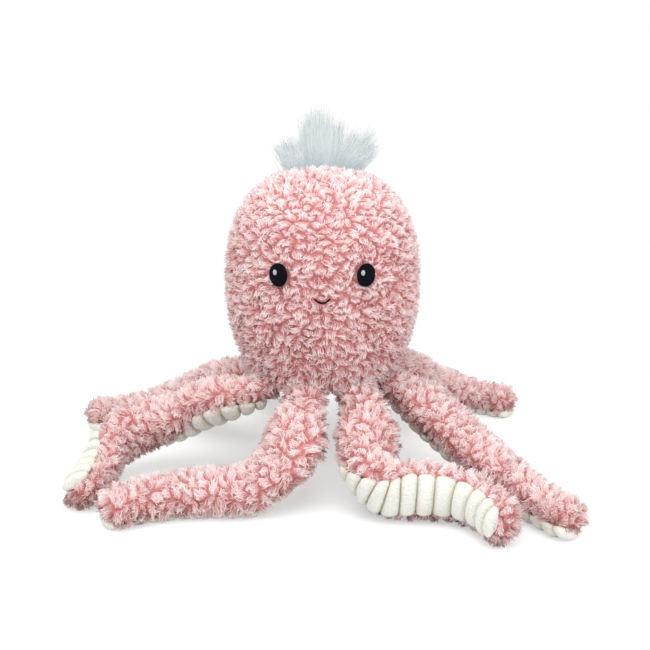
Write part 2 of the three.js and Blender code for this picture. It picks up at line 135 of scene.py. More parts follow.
class NodeSheet:
    """The nodes of a material or a world, with short calls for what the finishes need."""

    def __init__(self, owner: bpy.types.Material | bpy.types.World, output: str) -> None:
        """Starts with nothing but the output.

        Args:
            owner: What the nodes belong to.
            output: The output's type name.
        """
        owner.use_nodes = True
        self.owner = owner
        self.tree = owner.node_tree
        self.tree.nodes.clear()
        self.output = self.node(output)

    @classmethod
    def of_material(cls, name: str) -> "NodeSheet":
        """The sheet of a new material."""
        return cls(bpy.data.materials.new(name), "ShaderNodeOutputMaterial")

    def node(
        self, kind: str, inputs: dict[str | int, object] | None = None, **settings: object
    ) -> bpy.types.Node:
        """A new node.

        Args:
            kind: The node's type name.
            inputs: Values and joined sockets by the name or number of the input.
            settings: Its own settings by name.

        Returns:
            The node.
        """
        made = self.tree.nodes.new(kind)
        for name, value in settings.items():
            setattr(made, name, value)
        for place, value in (inputs or {}).items():
            self.feed(made, place, value)
        return made

    def feed(self, node: bpy.types.Node, place: str | int, value: object) -> None:
        """Joins a socket to a node's input, or sets the input's value.

        Args:
            node: The node.
            place: The input's name or number.
            value: The socket or the value.
        """
        if isinstance(value, Socket):
            self.tree.links.new(value, node.inputs[place])
        else:
            node.inputs[place].default_value = value

    def show(self, surface: Socket) -> None:
        """Joins a shader to the output."""
        self.feed(self.output, "Surface", surface)

    def shader(
        self, roughness: float, sheen: float, sheen_tint: Colour, specular: float = 0.1
    ) -> bpy.types.Node:
        """A cloth shader on the output.

        Args:
            roughness: Its roughness.
            sheen: How much fuzz catches the light.
            sheen_tint: The colour of that fuzz.
            specular: Its shine.

        Returns:
            The shader's node.
        """
        shader = self.node("ShaderNodeBsdfPrincipled", {
            "Roughness": roughness, "Specular IOR Level": specular, "Sheen Weight": sheen,
            "Sheen Roughness": 0.5, "Sheen Tint": (*sheen_tint, 1.0),
        })
        self.show(shader.outputs["BSDF"])
        return shader

    def value(self, attribute: Attribute) -> Socket:
        """The number that the piece's points carry under a name."""
        return self.node("ShaderNodeAttribute", attribute_name=attribute.value).outputs["Fac"]

    def place(self) -> Socket:
        """The piece's own coordinates."""
        return self.node("ShaderNodeTexCoord").outputs["Object"]

    def ramp(self, source: Socket, stops: Stops) -> Socket:
        """Colours read off a row of stops.

        Args:
            source: The number to read them by.
            stops: Pairs of place and colour.

        Returns:
            The colour's socket.
        """
        ramp = self.node("ShaderNodeValToRGB", {"Fac": source})
        elements = ramp.color_ramp.elements
        while len(elements) < len(stops):
            elements.new(0.5)
        for element, (place, colour) in zip(elements, stops):
            element.position = place
            element.color = (*colour, 1.0)
        return ramp.outputs["Color"]

    def noise(self, scale: float, detail: float = 2.0) -> Socket:
        """Soft noise on the piece's own coordinates."""
        inputs = {"Scale": scale, "Detail": detail, "Vector": self.place()}
        return self.node("ShaderNodeTexNoise", inputs).outputs["Fac"]

    def spread(self, source: Socket, low: float, high: float) -> Socket:
        """A number from 0 to 1 spread from low to high."""
        inputs = {"Value": source, "To Min": low, "To Max": high}
        return self.node("ShaderNodeMapRange", inputs).outputs["Result"]

    def math(self, operation: str, first: Socket, second: Socket) -> Socket:
        """Two numbers joined by an operation of the math node."""
        joined = self.node("ShaderNodeMath", {0: first, 1: second}, operation=operation)
        return joined.outputs["Value"]

    def brightened(self, colour: Socket, level: Socket) -> Socket:
        """A colour made brighter or darker by a level."""
        inputs = {"Color": colour, "Value": level}
        return self.node("ShaderNodeHueSaturation", inputs).outputs["Color"]

    def bump(self, shader: bpy.types.Node, height: Socket, distance: float) -> None:
        """Small relief on a shader."""
        bump = self.node("ShaderNodeBump", {"Distance": distance, "Height": height})
        self.feed(shader, "Normal", bump.outputs["Normal"])

    def mixed(self, share: Socket, first: Socket, second: Socket) -> Socket:
        """Two shaders mixed by the share of the second."""
        return self.node("ShaderNodeMixShader", {0: share, 1: first, 2: second}).outputs["Shader"]

    def backdrop_share(self) -> Socket:
        """1 on rays that see the backdrop itself, and 0 on rays that only light the object.

        Returns:
            The number's socket.
        """
        path = self.node("ShaderNodeLightPath")
        seen = path.outputs["Is Camera Ray"]
        for name in ("Is Glossy Ray", "Is Transmission Ray"):
            seen = self.math("MAXIMUM", seen, path.outputs[name])
        return seen


@dataclass(frozen=True)
class StrandFinish:
    """Strands coloured deep at their roots and pale at their tips, a painted shade of the pile's
    depth, each a little deeper or paler.
    """

    name: str
    stops: Stops
    sheen_tint: Colour
    roughness: float = 0.9
    sheen: float = 0.10
    tone_shift: float = 0.30
    patch_shift: float = 0.12
    patch_scale: float = 30.0

    def material(self) -> bpy.types.Material:
        """The finish as a material.

        Returns:
            The material.
        """
        sheet = NodeSheet.of_material(self.name)
        shader = sheet.shader(self.roughness, self.sheen, self.sheen_tint)
        tone = sheet.spread(sheet.value(Attribute.TONE), -self.tone_shift, self.tone_shift)
        patch = sheet.spread(sheet.noise(self.patch_scale), -self.patch_shift, self.patch_shift)
        # Rise brings painted shade of depth; tone is random lightness, plus painted light from
        # above on the pile.
        level = sheet.math("ADD", sheet.value(Attribute.RISE), sheet.math("ADD", tone, patch))
        sheet.feed(shader, "Base Color", sheet.ramp(level, self.stops))
        return sheet.owner


@dataclass(frozen=True)
class ClothFinish:
    """Short cloth, coloured deeper where its rise is low, with a fine grain and broad patches."""

    name: str
    stops: Stops
    roughness: float = 0.95
    sheen: float = 0.2
    grain_scale: float = 900.0
    grain_levels: tuple[float, float] = (0.86, 1.1)
    patch_scale: float = 60.0
    patch_levels: tuple[float, float] = (1.0, 1.0)
    relief: float = 0.0006

    def material(self) -> bpy.types.Material:
        """The finish as a material.

        Returns:
            The material.
        """
        sheet = NodeSheet.of_material(self.name)
        shader = sheet.shader(self.roughness, self.sheen, self.stops[-1][1])
        grain = sheet.noise(self.grain_scale, 3.0)
        patch = sheet.spread(sheet.noise(self.patch_scale), *self.patch_levels)
        level = sheet.math("MULTIPLY", sheet.spread(grain, *self.grain_levels), patch)
        colour = sheet.ramp(sheet.value(Attribute.RISE), self.stops)
        sheet.feed(shader, "Base Color", sheet.brightened(colour, level))
        sheet.bump(shader, grain, self.relief)
        return sheet.owner


@dataclass(frozen=True)
class ThreadFinish:
    """Satin stitches laid side by side."""

    name: str
    groove: Colour
    crest: Colour
    stitch_scale: float = 420.0
    distortion: float = 1.2
    relief: float = 0.0003
    roughness: float = 0.7
    specular: float = 0.04

    def material(self) -> bpy.types.Material:
        """The finish as a material.

        Returns:
            The material.
        """
        sheet = NodeSheet.of_material(self.name)
        shader = sheet.shader(self.roughness, 0.0, self.crest, self.specular)
        inputs = {
            "Scale": self.stitch_scale, "Distortion": self.distortion, "Vector": sheet.place(),
        }
        waves = sheet.node("ShaderNodeTexWave", inputs, wave_type="BANDS", bands_direction="X")
        stitches = waves.outputs["Fac"]
        # The grooves between stitches are coloured darker than their crests: painted shade.
        colour = sheet.ramp(stitches, ((0.1, self.groove), (0.8, self.crest)))
        sheet.feed(shader, "Base Color", colour)
        sheet.bump(shader, stitches, self.relief)
        return sheet.owner


# Deep at the roots and in the curls' hollows, pale at the tips and crests: painted shade over the
# pink.
HEAD_PILE = StrandFinish(
    name="head_pile",
    stops=(
        (0.0, (0.42, 0.145, 0.14)),
        (0.25, (0.62, 0.32, 0.315)),
        (0.5, (0.75, 0.50, 0.495)),
        (0.75, (0.785, 0.625, 0.62)),
        (1.0, (0.82, 0.75, 0.745)),
    ),
    sheen_tint=(1.0, 0.72, 0.71),
)
# Deep at the roots and in the curls' hollows, pale at the tips and crests: painted shade over the
# pink.
ARM_PILE = StrandFinish(
    name="arm_pile",
    stops=(
        (0.0, (0.44, 0.18, 0.17)),
        (0.25, (0.62, 0.37, 0.36)),
        (0.5, (0.72, 0.515, 0.505)),
        (0.75, (0.765, 0.605, 0.595)),
        (1.0, (0.81, 0.71, 0.70)),
    ),
    sheen_tint=(1.0, 0.78, 0.77),
)
# Deeper at the roots and paler at the tips: painted shade of the tuft's depth over its grey blue.
TUFT_HAIR = StrandFinish(
    name="tuft_hair",
    stops=(
        (0.0, (0.34, 0.385, 0.395)),
        (0.4, (0.46, 0.50, 0.51)),
        (1.0, (0.56, 0.595, 0.60)),
    ),
    sheen_tint=(0.9, 0.95, 1.0),
    roughness=0.6,
    sheen=0.15,
    tone_shift=0.25,
    patch_shift=0.05,
)
# The skin under the pile is coloured deeper in the curls' hollows: painted shade.
PILE_GROUND = ClothFinish("pile_ground", ((0.0, (0.42, 0.14, 0.135)), (0.8, (0.56, 0.25, 0.24))))
# The tuft's band and the base panel are coloured darker towards their ends and rim.
TUFT_GROUND = ClothFinish("tuft_ground", ((0.0, (0.42, 0.5, 0.53)), (0.8, (0.6, 0.68, 0.71))))
BASE_VELOUR = ClothFinish("base_velour", ((0.0, (0.56, 0.54, 0.48)), (0.8, (0.70, 0.69, 0.64))))
# Darker and yellower in the valleys between the ribs and at the panel's edges: painted shade on
# cream velour.
RIB_VELOUR = ClothFinish(
    name="rib_velour",
    stops=((0.0, (0.46, 0.44, 0.33)), (0.45, (0.62, 0.61, 0.52)), (0.9, (0.67, 0.67, 0.62))),
    roughness=0.9,
    sheen=0.35,
    grain_scale=650.0,
    grain_levels=(0.84, 1.10),
    patch_levels=(0.97, 1.03),
    relief=0.0011,
)
BLACK_THREAD = ThreadFinish("black_thread", (0.002, 0.002, 0.003), (0.007, 0.008, 0.013))
WHITE_THREAD = ThreadFinish("white_thread", (0.30, 0.32, 0.36), (0.50, 0.53, 0.57))


Finish = StrandFinish | ClothFinish | ThreadFinish


@cache
def material_of(finish: Finish) -> bpy.types.Material:
    """The material of a finish, made once."""
    return finish.material()


def linked(name: str, data: bpy.types.ID) -> Object:
    """A new object in the scene.

    Args:
        name: Its name.
        data: Its mesh, camera or lamp.

    Returns:
        The object.
    """
    made = bpy.data.objects.new(name, data)
    bpy.context.scene.collection.objects.link(made)
    return made


def finished(name: str, body: bmesh.types.BMesh) -> Object:
    """A body, shaded smooth, as a new object in the scene.

    Args:
        name: Its name.
        body: The body, which is freed.

    Returns:
        The object.
    """
    for face in body.faces:
        face.smooth = True
    mesh = bpy.data.meshes.new(name)
    body.to_mesh(mesh)
    body.free()
    return linked(name, mesh)


def spun(radius: Array, around: Array, height: Array) -> Array:
    """Points from their radius, their angle round the upright axis and their height."""
    return np.stack([radius * np.cos(around), radius * np.sin(around), height], axis=1)


def folded(share: Array, fold: float) -> Array:
    """0 to 1 up to the fold and back to 0 at the end, for a form with a front and a back."""
    return clamp(np.where(share < fold, share / fold, (1.0 - share) / (1.0 - fold)))


@dataclass
class Ground:
    """Places on a skin, with its outward normals and the way that its pile is brushed."""

    points: Array
    normals: Array
    naps: Array
    lengths: Array

    def kept(self, keep: Array) -> "Ground":
        """Only the places that are marked."""
        return Ground(self.points[keep], self.normals[keep], self.naps[keep], self.lengths[keep])


@dataclass
class Strand:
    """One strand's body, shaped by bmesh once: a three-sided spike, with a knee where it bends."""

    knee: float = 0.0
    taper_power: float = 2.4
    rise_power: float = 0.8
    places: Array = field(init=False)
    angles: Array = field(init=False)
    faces: Array = field(init=False)

    def __post_init__(self) -> None:
        """Shapes the spike and reads its places and faces."""
        body = bmesh.new()
        bmesh.ops.create_cone(body, cap_ends=True, segments=3, radius1=1.0, radius2=0.0, depth=1.0)
        if self.knee > 0:
            whole = list(body.verts) + list(body.edges) + list(body.faces)
            bend = (0, 0, self.knee - 0.5)
            bmesh.ops.bisect_plane(body, geom=whole, plane_co=bend, plane_no=(0, 0, 1))
        bmesh.ops.triangulate(body, faces=body.faces)
        body.verts.index_update()
        spots = np.array([vert.co[:] for vert in body.verts])
        self.places = spots[:, 2] + 0.5
        self.angles = np.arctan2(spots[:, 1], spots[:, 0])
        self.faces = np.array([[vert.index for vert in face.verts] for face in body.faces])
        body.free()

    def grown(
        self, name: str, roots: Array, bends: Array, tips: Array, widths: Array,
        rises: Array, tones: Array, facing: Array, rng: Rng,
    ) -> Object:
        """Many strands as one mesh.

        Args:
            name: The mesh's name.
            roots: Where the strands stand.
            bends: The points that draw them into a bow.
            tips: Where they end.
            widths: Half their width at the root.
            rises: Their painted shade of depth, from 0 deep to 1 high, at root and tip in two
                columns.
            tones: How light each strand is, from 0 to 1, with any painted light from above.
            facing: The directions that they are lit from as one soft pile.
            rng: Where their turns about themselves come from.

        Returns:
            The object, with its rise and tone on its points.
        """
        count = len(roots)
        across = unit(np.cross(tips - roots, rng.normal(size=(count, 3))))
        beside = unit(np.cross(tips - roots, across))
        t = self.places[None, :, None]
        bow = (1 - t) ** 2 * roots[:, None] + 2 * t * (1 - t) * bends[:, None]
        bow = bow + t * t * tips[:, None]
        taper = column(widths[:, None] * (1.0 - self.places[None, :] ** self.taper_power))
        turn = column(np.cos(self.angles)[None, :]) * across[:, None]
        turn = turn + column(np.sin(self.angles)[None, :]) * beside[:, None]
        spots = bow + taper * turn
        lit = unit(facing[:, None] + SIDE_SHADE * turn)
        spots[..., 2] = np.maximum(spots[..., 2], FLOOR_CLEARANCE)
        steps = (np.arange(count) * len(self.places))[:, None, None]
        corners = (self.faces[None] + steps).reshape(-1)
        mesh = bpy.data.meshes.new(name)
        mesh.vertices.add(count * len(self.places))
        mesh.vertices.foreach_set("co", spots.reshape(-1))
        mesh.loops.add(len(corners))
        mesh.loops.foreach_set("vertex_index", corners)
        mesh.polygons.add(len(corners) // 3)
        mesh.polygons.foreach_set("loop_start", np.arange(0, len(corners), 3))
        mesh.polygons.foreach_set("use_smooth", np.ones(len(corners) // 3, dtype=bool))
        mesh.update(calc_edges=True)
        climb = self.places[None, :] ** self.rise_power
        height = rises[:, :1] + (rises[:, 1:] - rises[:, :1]) * climb
        # Painted shade: the sides that face into the pile are coloured deeper, those facing out
        # paler.
        height += SIDE_PAINTED_SHADE * (turn * facing[:, None]).sum(axis=2)
        shade = np.repeat(tones, len(self.places))
        for attribute, values in ((Attribute.RISE, height), (Attribute.TONE, shade)):
            layer = mesh.attributes.new(attribute.value, "FLOAT", "POINT")
            layer.data.foreach_set("value", values.reshape(-1))
        soft = mesh.attributes.new("custom_normal", "FLOAT_VECTOR", "POINT")
        soft.data.foreach_set("vector", lit.reshape(-1))
        made = linked(name, mesh)
        made.visible_shadow = False
        return made


@dataclass
class Curls:
    """The soft lumps that a pile curls into, as a field over its skin."""

    seeds: Ground
    spacing: float
    rise: float
    stretch: tuple[float, float, float] = (1.0, 1.0, 1.0)
    warp: float = 0.3
    edge: float = 0.62
    grain: float = 0.9

    def __post_init__(self) -> None:
        """Sorts the lumps' middles for searching."""
        self.spots = self.seeds.points * np.array(self.stretch)
        self.tree = KDTree(len(self.spots))
        for index, spot in enumerate(self.spots.tolist()):
            self.tree.insert(spot, index)
        self.tree.balance()

    def read(self, points: Array) -> tuple[Array, Array, Array]:
        """Reads the field.

        Args:
            points: Places on the skin.

        Returns:
            The height in shares of the rise, its slope, and the number of the lump at each place.
        """
        grain = points / (self.spacing * self.grain)
        shift = np.array([noise.noise_vector(spot)[:] for spot in grain.tolist()])
        at = (points + self.warp * self.spacing * shift) * np.array(self.stretch)
        pairs = [self.tree.find_n(spot, 2) for spot in at.tolist()]
        first = np.array([pair[0][1] for pair in pairs])
        second = np.array([pair[1][1] for pair in pairs])
        near = at - self.spots[first]
        far = at - self.spots[second]
        near_way, far_way = unit(near), unit(far)
        gap = np.linalg.norm(far, axis=1) - np.linalg.norm(near, axis=1)
        share = clamp(gap / (self.edge * self.spacing))
        heights = 1.0 - (1.0 - share) ** 2
        steepness = 2.0 * (1.0 - share) / (self.edge * self.spacing)
        return heights, column(steepness) * (near_way - far_way) * np.array(self.stretch), first

    def raise_skin(self, body: bmesh.types.BMesh) -> None:
        """Lifts a skin's vertices into the lumps and notes their rise, which colours the hollows
        deeper as painted shade.

        Args:
            body: The skin.
        """
        rise = body.verts.layers.float[Attribute.RISE.value]
        body.normal_update()
        heights, _, _ = self.read(np.array([vert.co[:] for vert in body.verts]))
        for vert, height in zip(body.verts, heights.tolist()):
            vert.co += vert.normal * (self.rise * height)
            vert.co.z = max(vert.co.z, FLOOR_CLEARANCE)
            vert[rise] = height


@dataclass
class Pile:
    """Loose pile that stands on curls and leans with them."""

    length: float
    width: float
    density: float
    curl_spacing: float
    curl_rise: float
    lean: float
    nap: float
    pull: float
    stray: float
    splay: float = 0.8
    stretch: tuple[float, float, float] = (1.0, 1.0, 1.0)
    root_sink: float = 0.0004
    length_range: tuple[float, float] = (0.7, 1.1)
    width_range: tuple[float, float] = (0.75, 1.2)
    pull_range: tuple[float, float] = (0.3, 1.1)
    shake: float = 0.2
    crest_share: float = 0.9
    bend_share: float = 0.4
    bend_rise: float = 0.36
    # root_light and tip_light set the painted shade of depth: how pale roots and hollow tips are
    # coloured
    root_light: float = 0.1
    tip_light: float = 0.35
    slope_light: float = 0.6
    strand: Strand = field(default_factory=lambda: Strand(knee=0.62))

    def count(self, area: float) -> int:
        """How many strands an area takes."""
        return int(area * self.density)

    def curl_count(self, area: float) -> int:
        """How many curls an area takes."""
        return max(int(area / self.curl_spacing**2), 1)

    def curls(self, seeds: Ground, rng: Rng) -> Curls:
        """The curls round their middles, which are shaken out of their rows.

        Args:
            seeds: The middles.
            rng: Where the shaking comes from.

        Returns:
            The curls.
        """
        shaken = rng.normal(size=seeds.points.shape) * self.curl_spacing * self.shake
        seeds.points = seeds.points + shaken
        return Curls(seeds, self.curl_spacing, self.curl_rise, self.stretch)

    def grown(
        self, name: str, ground: Ground, curls: Curls, rng: Rng,
        parting: Array | None = None,
    ) -> Object:
        """Grows the pile.

        Args:
            name: The mesh's name.
            ground: Where each strand stands.
            curls: The lumps that lift it.
            rng: Where all that varies comes from.
            parting: How far each tip is drawn aside.

        Returns:
            The object.
        """
        count = len(ground.points)
        heights, slopes, curl = curls.read(ground.points)
        slopes -= column((slopes * ground.normals).sum(axis=1)) * ground.normals
        roots = ground.points + column(self.curl_rise * heights - self.root_sink) * ground.normals
        normals, middles = curls.seeds.normals, curls.seeds.points
        swirl = rng.normal(size=normals.shape)
        swirl = self.lean * unit(swirl - column((swirl * normals).sum(axis=1)) * normals)
        away = ground.normals - self.splay * self.curl_rise * slopes + swirl[curl]
        away = away + self.nap * ground.naps
        way = unit(away + self.stray * rng.normal(size=(count, 3)))
        lengths = self.length * ground.lengths * rng.uniform(*self.length_range, count)
        tips = roots + column(lengths) * way
        crests = middles + unit(normals + swirl) * (self.curl_rise + self.crest_share * self.length)
        pulls = self.pull * rng.uniform(*self.pull_range, count)
        tips = tips + column(pulls) * (crests[curl] - tips)
        if parting is not None:
            tips = tips + parting
        bends = roots + self.bend_share * (tips - roots)
        bends = bends + column(self.bend_rise * lengths) * ground.normals
        tones = SHARED_TONE * rng.random(len(normals))[curl]
        tones = tones + (1.0 - SHARED_TONE) * rng.random(count)
        # Painted light from above: strands that stand on upward-facing skin are coloured paler.
        tones = clamp(tones + PAINTED_TOP_LIGHT * np.maximum(ground.normals[:, 2], 0.0))
        widths = self.width * rng.uniform(*self.width_range, count)
        # Painted shade: roots and the curls' hollows are coloured deep, tips and crests pale.
        high = self.tip_light + (1.0 - self.tip_light) * heights
        rises = np.stack([self.root_light * heights, high], axis=1)
        facing = unit(ground.normals - self.slope_light * self.splay * self.curl_rise * slopes)
        return self.strand.grown(name, roots, bends, tips, widths, rises, tones, facing, rng)


def wrapped(
    name: str, along: int, around: int, place: Callable[[Array, Array], Placed],
    curls: Curls | None = None,
) -> Object:
    """A closed body bent from a flat grid, with its seam and its poles merged.

    Args:
        name: The object's name.
        along: Steps from one pole to the other.
        around: Steps round the body.
        place: Gives the points, and their rise, for shares along and around.
        curls: The lumps that lift it.

    Returns:
        The object.
    """
    body = bmesh.new()
    rise = body.verts.layers.float.new(Attribute.RISE.value)
    bmesh.ops.create_grid(body, x_segments=along, y_segments=around, size=0.5)
    verts = list(body.verts)
    flat = np.array([vert.co[:2] for vert in verts]) + 0.5
    spots, rises = place(flat[:, 0], flat[:, 1])
    for vert, spot, height in zip(verts, spots, rises):
        vert.co = spot
        vert[rise] = height
    bmesh.ops.remove_doubles(body, verts=body.verts, dist=2e-6)
    bmesh.ops.recalc_face_normals(body, faces=body.faces)
    if curls is not None:
        curls.raise_skin(body)
    return finished(name, body)


def dress(
    piece: Object, body: str, finish: Finish,
    nodes: tuple[str, ...],
) -> None:
    """Gives a piece its finish and its place in the frame.

    Args:
        piece: The object.
        body: The body that it rides on.
        finish: Its finish.
        nodes: The nodes that it replaces.
    """
    piece.data.materials.append(material_of(finish))
    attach(piece, body)
    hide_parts(*nodes)
    LOG.info("%s on %s: %d faces", piece.name, body, len(piece.data.polygons))


@dataclass
class Head:
    """The round head: skin, pile, and the panel that closes it below."""

    centre: Array
    radius: float = 0.0705
    rise: float = 0.083
    drop: float = 0.075
    neck_radius: float = 0.053
    base_rim: float = 0.004
    base_floor: float = 0.062
    crown_power: float = 2.45
    cheek_power: float = 2.3
    skin_depth: float = 0.0052
    base_radius: float = 0.0305
    pad_fall: float = 0.0022
    pad_rise: float = 0.0016
    pad_fold: float = 0.7
    around_scatter: float = 0.012
    under_length: float = 0.6
    pile: Pile = field(
        default_factory=lambda: Pile(
            length=0.0050, width=0.00045, density=0.88e6, curl_spacing=0.0058, curl_rise=0.0018,
            lean=0.75, nap=0.25, pull=0.16, stray=0.40, stretch=(0.8, 0.8, 1.3),
        )
    )

    @property
    def equator(self) -> float:
        """Height of the widest place."""
        return self.base_floor + self.drop

    def crown_at(self, x: Array) -> Array:
        """Heights along the crown's seam.

        Args:
            x: Places across, from the head's axis.

        Returns:
            The heights.
        """
        above = clamp(np.abs(x) / self.radius)
        arch = (1.0 - above**self.crown_power) ** (1.0 / self.crown_power)
        return self.equator + self.rise * arch

    def radius_at(self, height: Array, grow: float | Array = 0.0) -> Array:
        """The head's radius at a height, grown or shrunk.

        Args:
            height: Heights.
            grow: How far out from the skin's surface.

        Returns:
            The radii.
        """
        above = clamp((height - self.equator) / (self.rise + grow))
        crown = (self.radius + grow) * (1.0 - above**self.crown_power) ** (1.0 / self.crown_power)
        below = np.clip((self.equator - height) / (self.drop - self.base_rim), 0.0, 1.1)
        cheek = self.radius + grow - (self.radius - self.neck_radius) * below**self.cheek_power
        return np.where(height > self.equator, crown, cheek)

    def front(self, x: Array, z: Array, grow: Array) -> Array:
        """Points on the face's side of the head.

        Args:
            x: Places across, from the head's axis.
            z: Heights.
            grow: How far out from the skin's surface.

        Returns:
            The points.
        """
        radius = self.radius_at(z, grow)
        y = -np.sqrt(np.maximum(radius**2 - x**2, 0.0))
        return np.stack([x, y, z], axis=-1) + self.centre

    def outline(self, grow: float, steps: int, inner: float) -> Array:
        """Rows of radius and height from the crown, down the cheeks and in under the base.

        Args:
            grow: How far out from the surface.
            steps: Steps on the crown.
            inner: The radius where the row ends.

        Returns:
            The rows.
        """
        angle = np.linspace(math.pi / 2, 0.0, steps + 1)
        power = 2.0 / self.crown_power
        crown_radius = (self.radius + grow) * np.abs(np.cos(angle)) ** power
        crown_radius[0] = 0.0
        crown_height = self.equator + (self.rise + grow) * np.sin(angle) ** power
        share = np.linspace(0.0, 1.0, steps + 1)[1:]
        waist = self.radius - self.neck_radius
        cheek_radius = self.radius + grow - waist * share**self.cheek_power
        cheek_height = self.equator - (self.drop - self.base_rim + grow) * share
        turn = np.linspace(0.0, math.pi / 2, 7)[1:]
        rim_radius = cheek_radius[-1] - self.base_rim * (1.0 - np.cos(turn))
        rim_height = cheek_height[-1] - self.base_rim * np.sin(turn)
        under = np.linspace(rim_radius[-1], inner, 9)[1:]
        radii = np.concatenate([crown_radius, cheek_radius, rim_radius, under])
        heights = np.concatenate(
            [crown_height, cheek_height, rim_height, np.full(len(under), rim_height[-1])]
        )
        return np.stack([radii, heights], axis=1)

    def skin(self, curls: Curls) -> Object:
        """The closed skin, spun from its outline and lifted into curls.

        Args:
            curls: The lumps that lift it.

        Returns:
            The object.
        """
        rows = self.outline(-self.skin_depth, 88, 0.0)
        body = bmesh.new()
        body.verts.layers.float.new(Attribute.RISE.value)
        verts = [body.verts.new((radius, 0.0, height)) for radius, height in rows]
        edges = [body.edges.new(pair) for pair in zip(verts, verts[1:])]
        bmesh.ops.spin(
            body, geom=verts + edges, axis=(0, 0, 1), cent=(0, 0, 0), angle=FULL_TURN, steps=300,
            use_merge=True,
        )
        bmesh.ops.remove_doubles(body, verts=body.verts, dist=1e-5)
        bmesh.ops.recalc_face_normals(body, faces=body.faces)
        bmesh.ops.translate(body, verts=body.verts, vec=Vector(self.centre))
        curls.raise_skin(body)
        return finished("head_skin", body)

    def ground(self, count: int, rng: Rng) -> tuple[Ground, float]:
        """Places spread evenly over the skin.

        Args:
            count: How many, or 0 to learn the area alone.
            rng: Where their jitter comes from.

        Returns:
            The places, and the area that they cover.
        """
        rows = self.outline(-self.skin_depth, 120, self.base_radius + 0.001)
        steps = np.diff(rows, axis=0)
        runs = np.linalg.norm(steps, axis=1)
        bands = FULL_TURN * 0.5 * (rows[1:, 0] + rows[:-1, 0]) * runs
        area = np.concatenate([[0.0], np.cumsum(bands)])
        index = np.arange(count)
        share = clamp((index + rng.uniform(0.0, 1.0, count)) / max(count, 1))
        at = share * area[-1]
        radius = np.interp(at, area, rows[:, 0])
        height = np.interp(at, area, rows[:, 1])
        slot = np.clip(np.searchsorted(area, at) - 1, 0, len(steps) - 1)
        down = steps[slot] / column(runs[slot])
        around = FULL_TURN * ((index * GOLDEN) % 1.0) + rng.normal(size=count) * self.around_scatter
        points = spun(radius, around, height) + self.centre
        normals = spun(-down[:, 1], around, down[:, 0])
        naps = spun(down[:, 0], around, down[:, 1])
        under = height < self.base_floor + self.skin_depth + 0.001
        lengths = np.where(under & (normals[:, 2] < -0.8), self.under_length, 1.0)
        return Ground(points, unit(normals), unit(naps), lengths), float(area[-1])

    def base_pad(self) -> Object:
        """The soft panel that closes the head below.

        Returns:
            The object.
        """

        def place(u: Array, v: Array) -> Placed:
            """Points of a low dome over a flat back.

            Args:
                u: Shares from pole to pole.
                v: Shares round the body.

            Returns:
                The points and their rise.
            """
            out = folded(u, self.pad_fold)
            swell = np.sqrt(clamp(1.0 - out**4))
            crown = np.where(u < self.pad_fold, -self.pad_fall, self.pad_rise) * swell
            z = self.base_floor + self.pad_fall + crown
            return spun(self.base_radius * out, FULL_TURN * v, z) + self.centre, swell

        return wrapped("base_pad", 20, 48, place)

    def build(self, face: "Face") -> None:
        """Builds the head and leaves its pile clear of the face.

        Args:
            face: Tells where the stitches lie.
        """
        rng = np.random.default_rng(HEAD_SEED)
        skin_nodes = ("head_back_panel", "head_stuffing")
        area = self.ground(0, rng)[1]
        curls = self.pile.curls(self.ground(self.pile.curl_count(area), rng)[0], rng)
        dress(self.skin(curls), "head", PILE_GROUND, skin_nodes)
        dress(self.base_pad(), "head", BASE_VELOUR, ("base_panel",))
        ground, _ = self.ground(self.pile.count(area), rng)
        keep, parting = face.parting(ground.points - self.centre)
        pile = self.pile.grown("head_pile", ground.kept(keep), curls, rng, parting[keep])
        dress(pile, "head", HEAD_PILE, ("head_front_panel",))


